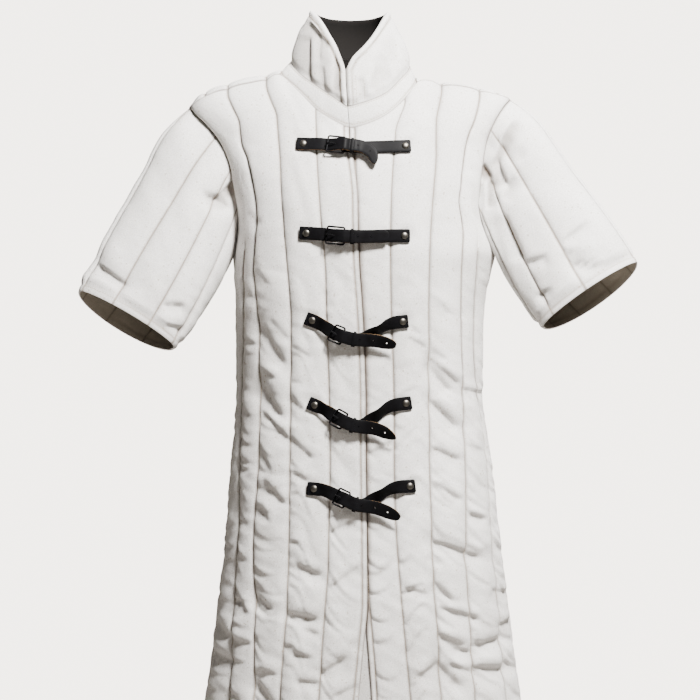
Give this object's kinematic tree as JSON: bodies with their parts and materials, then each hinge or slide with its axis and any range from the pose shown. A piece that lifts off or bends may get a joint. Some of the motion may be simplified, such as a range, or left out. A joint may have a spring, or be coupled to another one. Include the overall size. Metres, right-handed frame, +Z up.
{
  "type": "gambeson",
  "caption": "Knee-length quilted padded coat with elbow sleeves, a stand collar and a row of buckled leather straps down the front.",
  "frame": {"origin": "middle of the neck opening, level with the top of the shoulders, where a wearer or a hanger holds the coat up", "axes": "+Z up, the front faces -Y, the wearer's right is at -X"},
  "size_m": [0.897, 0.3504, 1.1582],
  "materials": {
    "cotton_canvas": "undyed woven cotton canvas",
    "black_leather": "black, satin",
    "black_steel": "blackened",
    "rivet_nickel": "dull nickel"
  },
  "bodies": {
    "root": {"front_right": "cotton_canvas", "front_left": "cotton_canvas", "back": "cotton_canvas", "sleeve_right": "cotton_canvas", "sleeve_left": "cotton_canvas", "collar": "cotton_canvas", "collar_band": "cotton_canvas", "front_underlap": "cotton_canvas", "closure_1_tongue_strap": "black_leather", "closure_1_buckle_strap": "black_leather", "closure_1_buckle_frame": "black_steel", "closure_1_prong": "black_steel", "closure_1_keeper": "black_leather", "closure_1_rivet_right": "rivet_nickel", "closure_1_rivet_left": "rivet_nickel", "closure_2_tongue_strap": "black_leather", "closure_2_buckle_strap": "black_leather", "closure_2_buckle_frame": "black_steel", "closure_2_prong": "black_steel", "closure_2_keeper": "black_leather", "closure_2_rivet_right": "rivet_nickel", "closure_2_rivet_left": "rivet_nickel", "closure_3_tongue_strap": "black_leather", "closure_3_buckle_strap": "black_leather", "closure_3_buckle_frame": "black_steel", "closure_3_prong": "black_steel", "closure_3_keeper": "black_leather", "closure_3_rivet_right": "rivet_nickel", "closure_3_rivet_left": "rivet_nickel", "closure_4_tongue_strap": "black_leather", "closure_4_buckle_strap": "black_leather", "closure_4_buckle_frame": "black_steel", "closure_4_prong": "black_steel", "closure_4_keeper": "black_leather", "closure_4_rivet_right": "rivet_nickel", "closure_4_rivet_left": "rivet_nickel", "closure_5_tongue_strap": "black_leather", "closure_5_buckle_strap": "black_leather", "closure_5_buckle_frame": "black_steel", "closure_5_prong": "black_steel", "closure_5_keeper": "black_leather", "closure_5_rivet_right": "rivet_nickel", "closure_5_rivet_left": "rivet_nickel"}
  },
  "joints": []
}
